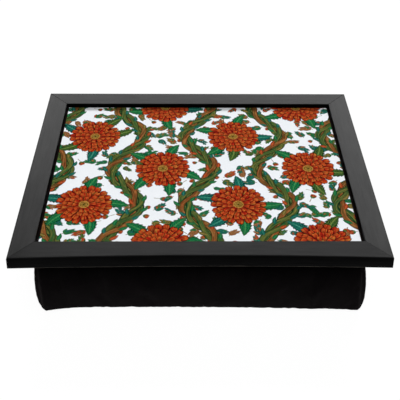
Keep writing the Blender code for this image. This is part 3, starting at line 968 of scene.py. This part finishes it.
def stuffed(cushion, cage):
    """Blows the cover up from inside with cloth simulation, and caps how far each point may move."""
    group = cushion.vertex_groups.new(name="sewn")
    for index, place in enumerate(cage):
        group.add([index], sewn_share(place), "REPLACE")
    cloth = cushion.modifiers.new("stuffing", "CLOTH")
    for setting, value in CLOTH.items():
        setattr(cloth.settings, setting, value)
    cloth.settings.vertex_group_mass = "sewn"
    cloth.settings.effector_weights.gravity = 0
    cloth.collision_settings.use_collision = False
    for frame_number in range(1, STUFFING_FRAMES + 1):
        bpy.context.scene.frame_set(frame_number)
    graph = bpy.context.evaluated_depsgraph_get()
    blown = [vert.co.copy() for vert in cushion.evaluated_get(graph).data.vertices]
    cushion.modifiers.remove(cloth)
    cushion.vertex_groups.remove(group)
    bpy.context.scene.frame_set(1)
    for vert, place in zip(cushion.data.vertices, blown):
        move = place - vert.co
        if move.length > STUFFING_LIMIT:
            move *= STUFFING_LIMIT / move.length
        vert.co += move


def smoothed(cushion, name):
    """Divides the cushion's mesh once more, smoothly, and gives it that mesh."""
    smoothing = cushion.modifiers.new("smoothing", "SUBSURF")
    smoothing.levels = smoothing.render_levels = 1
    graph = bpy.context.evaluated_depsgraph_get()
    seen = cushion.evaluated_get(graph)
    mesh = bpy.data.meshes.new_from_object(seen, preserve_all_data_layers=True, depsgraph=graph)
    cushion.modifiers.remove(smoothing)
    coarse, cushion.data = cushion.data, mesh
    bpy.data.meshes.remove(coarse)
    mesh.name = name
    return mesh


def strip_gap(x, y):
    """How far a place on the cushion's top is from the nearest loop strip."""
    gaps = []
    for corner in ("front_left", "front_right", "back_left", "back_right"):
        low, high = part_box(f"loop_strip_{corner}")
        gaps.append(math.hypot(max(low.x - x, 0, x - high.x), max(low.y - y, 0, y - high.y)))
    return min(gaps)


def sew(mesh):
    """Draws the seams in, puckers the cloth beside them, and quilts the top between its strips."""
    cages = [Vector(item.vector) for item in mesh.attributes["cage"].data]
    halves = (TRAY_LENGTH / 2 - SEAM_INSET[0], TRAY_DEPTH / 2 - SEAM_INSET[1], CUSHION_HEIGHT / 2)
    normals = [Vector(normal.vector) for normal in mesh.vertex_normals]
    near_seam = mesh.attributes.new("near_seam", "FLOAT", "POINT").data
    for vert, cage, normal in zip(mesh.vertices, cages, normals):
        # The first axis is the panel's own, the next leads to its nearest seam, the last runs along that.
        gaps = sorted((max(0, 1 - abs(cage[axis])) * halves[axis], axis) for axis in range(3))
        gap, along = gaps[1][0], cage[gaps[2][1]] * halves[gaps[2][1]]
        here = vert.co
        # Nearness to a seam, which carries the velvet's painted highlight.
        near_seam[vert.index].value = math.exp(-((gap / SEAM_HIGHLIGHT_WIDTH) ** 2))
        ridge = RIDGE_HEIGHT * math.exp(-(((gap - RIDGE_PLACE) / RIDGE_WIDTH) ** 2))
        groove = -GROOVE_DEPTH * math.exp(-((gap / GROOVE_WIDTH) ** 2)) + ridge
        unsteady = noise.noise(here * 55)
        uneven = 0.6 + 0.8 * noise.noise(here * 30 + Vector((9, 3, 5)))
        pucker = math.sin(2 * math.pi * along / PUCKER_LENGTH + 5 * unsteady) * uneven
        pucker *= PUCKER_DEPTH * math.exp(-gap / PUCKER_REACH)
        creased = noise.noise(Vector((here.x * 22, here.y * 22, here.z * 9)))
        fold = FOLD_DEPTH * creased * min(1, gap / FOLD_CLEAR_OF_SEAM)
        if cage.z > LEVEL_FACE:
            crown = min(1, strip_gap(here.x, here.y) / QUILT_SLOPE, gap / QUILT_SLOPE)
            rise = QUILT_RISE * crown * crown * (3 - 2 * crown)
            vert.co.z += rise + min(0, groove)
        elif cage.z < -LEVEL_FACE:
            vert.co.z = max(0, vert.co.z + max(0, -groove - pucker * 0.5))
        else:
            vert.co += normal * (groove + pucker + fold)
            vert.co.z = max(0, vert.co.z)


def add_cushion():
    """The stuffed cushion in its sewn cover, which stands for the cover's panels and the beads."""
    bm = cushion_cage()
    cage_layer = bm.verts.layers.float_vector.new("cage")
    cage = []
    for vert in bm.verts:
        place = vert.co.copy()
        vert[cage_layer] = place
        vert.co = cushion_point(place, STUFFING_SETBACK)
        cage.append(place)
    cushion = linked_object("cushion_cover", as_mesh("cushion_cover", bm))
    stuffed(cushion, cage)
    mesh = smoothed(cushion, "cushion_cover")
    sew(mesh)
    mesh.materials.append(velvet())
    mesh.shade_smooth()
    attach(cushion, "cushion")
    panels = [f"cover_{side}" for side in ("top", "front", "back", "left", "right", "base")]
    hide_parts(*panels, "bead_filling")


def dress_nodes():
    """Gives each CAD node that stays its own finish."""
    finishes = {f"rail_{side}": black_foil(f"foil_{side}", *foil) for side, foil in RAIL_FOILS.items()}
    finishes["printed_laminate"] = print_ground()
    finishes["tray_board"] = fibreboard()
    finishes["backing_sheet"] = plain_backing()
    kinds = {
        "corner_nail_": spring_steel(),
        "hook_strip_": hook_tape(),
        "loop_strip_": loop_tape(),
    }
    kinds["framers_point_"] = kinds["corner_nail_"]
    for name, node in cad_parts.items():
        finish = finishes.get(name) or next((f for kind, f in kinds.items() if name.startswith(kind)), None)
        if finish:
            node.material_slots[0].material = finish


def seen_by_camera(tree):
    """1 for what the camera sees, straight or in gloss or glass, and 0 for light that bounces."""
    rays = add_node(tree, "ShaderNodeLightPath")
    seen = maths(tree, "MAXIMUM", rays.outputs["Is Camera Ray"], rays.outputs["Is Glossy Ray"])
    return maths(tree, "MAXIMUM", seen, rays.outputs["Is Transmission Ray"])


def add_floor():
    """A white floor that keeps the object's shadow, and elsewhere looks as white as the background."""
    bm = bmesh.new()
    bmesh.ops.create_grid(bm, x_segments=1, y_segments=1, size=FLOOR_REACH)
    bmesh.ops.translate(bm, verts=bm.verts[:], vec=(0, 0, -FLOOR_DROP))
    finish = bpy.data.materials.new("white_floor")
    finish.use_nodes = True
    tree = finish.node_tree
    tree.nodes.clear()
    painted = add_node(tree, "ShaderNodeBsdfDiffuse", {"Color": grey(FLOOR_BOUNCE)})
    faint = add_node(tree, "ShaderNodeBsdfDiffuse", {"Color": grey(FLOOR_SHADOW_SHARE)})
    white = add_node(tree, "ShaderNodeEmission", {"Strength": FLOOR_GLOW})
    shown = add_node(tree, "ShaderNodeAddShader", {0: faint.outputs[0], 1: white.outputs[0]})
    choice = {0: seen_by_camera(tree), 1: painted.outputs[0], 2: shown.outputs[0]}
    mix = add_node(tree, "ShaderNodeMixShader", choice)
    add_node(tree, "ShaderNodeOutputMaterial", {"Surface": mix.outputs[0]})
    floor = linked_object("floor", as_mesh("floor", bm))
    floor.data.materials.append(finish)


def add_world(fill):
    """White all round to the camera and in reflections, and an even fill light on the object."""
    world = bpy.data.worlds.new("studio")
    bpy.context.scene.world = world
    world.use_nodes = True
    tree = world.node_tree
    strength = maths(tree, "ADD", times(tree, seen_by_camera(tree), 1 - fill), fill)
    background = tree.nodes["Background"]
    background.inputs["Color"].default_value = grey(1)
    tree.links.new(strength, background.inputs["Strength"])


def add_softbox(name, place, size, radiance, tilt=0):
    """A rectangular lamp that faces the tray, evenly bright, and tilted in its own plane."""
    lamp = bpy.data.lights.new(name, "AREA")
    lamp.shape = "RECTANGLE"
    lamp.size, lamp.size_y = size
    lamp.energy = radiance * math.pi * size[0] * size[1]
    made = linked_object(name, lamp)
    made.location = place
    facing = (Vector(LAMP_AIM) - Vector(place)).to_track_quat("-Z", "Y").to_matrix()
    made.rotation_euler = (facing @ Matrix.Rotation(math.radians(tilt), 3, "Z")).to_euler()


def add_camera():
    camera = bpy.data.cameras.new("camera")
    camera.sensor_width = SENSOR_WIDTH
    camera.lens = CAMERA_LENS
    camera.clip_end = FARTHEST_SEEN
    made = linked_object("camera", camera)
    aside = Matrix.Rotation(math.radians(-CAMERA_ASIDE), 4, "Z")
    down = Matrix.Rotation(math.radians(90 - CAMERA_DOWN), 4, "X")
    roll = Matrix.Rotation(math.radians(CAMERA_ROLL), 4, "Z")
    made.matrix_world = Matrix.Translation(CAMERA_PLACE) @ aside @ down @ roll
    bpy.context.scene.camera = made


dress_nodes()
add_print()
add_cushion()
add_floor()
add_world(FILL_LIGHT)
add_softbox("softbox_behind", place=(0.418, 3.452, 2.956), size=(3.89, 1.53), radiance=10.1, tilt=3.8)
add_softbox("softbox_above", place=(0, -0.85, 2.2), size=(1.8, 1.8), radiance=3.0)
add_camera()
bpy.context.scene.view_settings.view_transform = "Standard"
